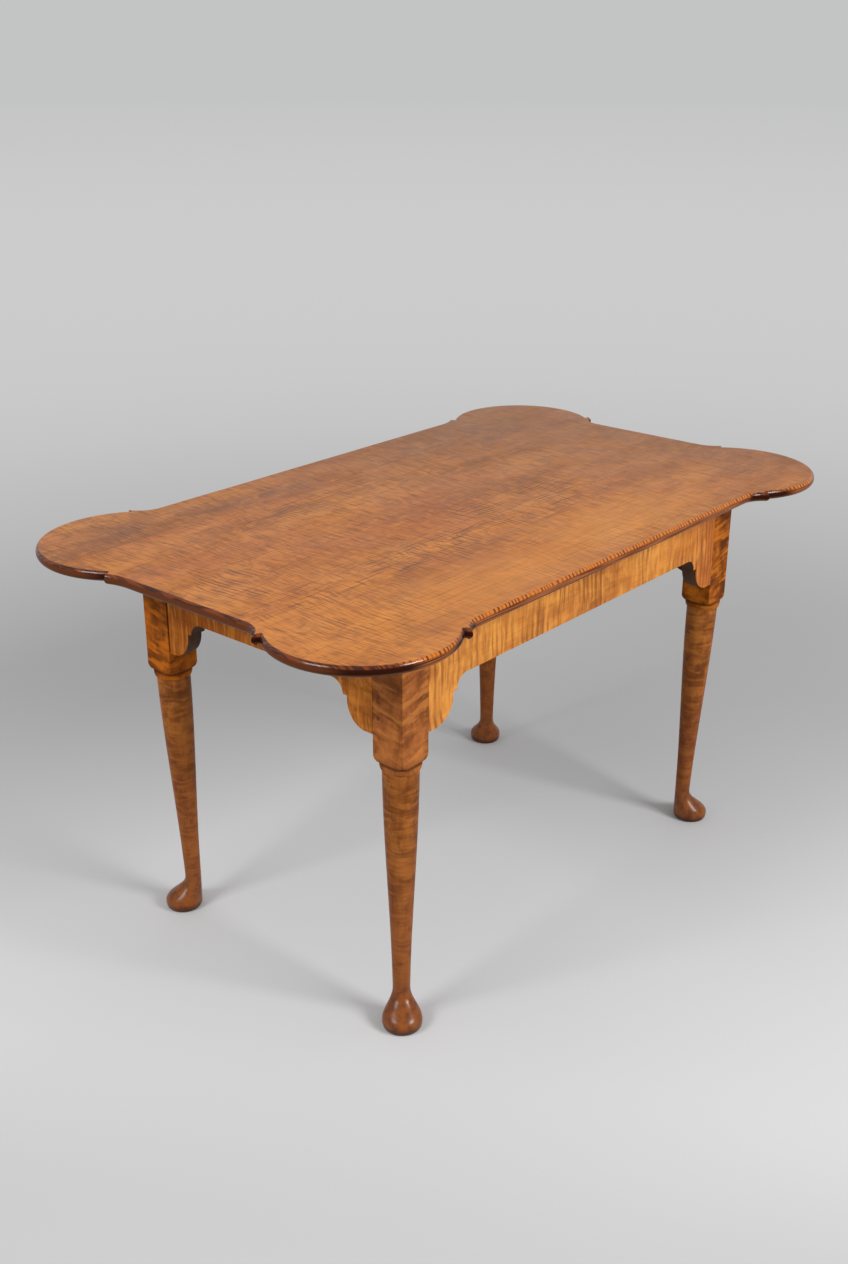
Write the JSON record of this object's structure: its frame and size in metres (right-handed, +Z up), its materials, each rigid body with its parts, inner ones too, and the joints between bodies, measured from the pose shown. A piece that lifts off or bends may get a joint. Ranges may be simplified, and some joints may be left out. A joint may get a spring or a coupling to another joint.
{
  "type": "porringer_tea_table",
  "caption": "Porringer tea table in figured maple, with lobed corners, scrolled aprons, square posts over offset-turned tapering legs and pad feet.",
  "frame": {"origin": "on the floor under the middle of the top's bounding box", "axes": "+X along the long side of the top, +Y to the back, +Z up"},
  "size_m": [1.2742, 0.7918, 0.686],
  "materials": {
    "top_maple": "satin varnish over figured maple",
    "leg_maple": "satin varnish over curly maple",
    "apron_maple": "satin varnish over curly maple",
    "peg_wood": "end grain under varnish",
    "button_wood": "bare planed wood",
    "screw_steel": "plain steel"
  },
  "bodies": {
    "root": {"top_board_front": "top_maple", "top_board_middle": "top_maple", "top_board_back": "top_maple", "leg_front_left": "leg_maple", "leg_front_right": "leg_maple", "leg_back_left": "leg_maple", "leg_back_right": "leg_maple", "apron_front": "apron_maple", "apron_back": "apron_maple", "apron_left": "apron_maple", "apron_right": "apron_maple", "peg_front_a_low": "peg_wood", "peg_front_a_high": "peg_wood", "peg_front_b_low": "peg_wood", "peg_front_b_high": "peg_wood", "peg_back_a_low": "peg_wood", "peg_back_a_high": "peg_wood", "peg_back_b_low": "peg_wood", "peg_back_b_high": "peg_wood", "peg_left_a_low": "peg_wood", "peg_left_a_high": "peg_wood", "peg_left_b_low": "peg_wood", "peg_left_b_high": "peg_wood", "peg_right_a_low": "peg_wood", "peg_right_a_high": "peg_wood", "peg_right_b_low": "peg_wood", "peg_right_b_high": "peg_wood", "top_button_front_1": "button_wood", "top_button_front_2": "button_wood", "top_button_front_3": "button_wood", "top_button_back_1": "button_wood", "top_button_back_2": "button_wood", "top_button_back_3": "button_wood", "top_button_left_1": "button_wood", "top_button_left_2": "button_wood", "top_button_right_1": "button_wood", "top_button_right_2": "button_wood", "button_screw_front_1": "screw_steel", "button_screw_front_2": "screw_steel", "button_screw_front_3": "screw_steel", "button_screw_back_1": "screw_steel", "button_screw_back_2": "screw_steel", "button_screw_back_3": "screw_steel", "button_screw_left_1": "screw_steel", "button_screw_left_2": "screw_steel", "button_screw_right_1": "screw_steel", "button_screw_right_2": "screw_steel"}
  },
  "joints": []
}
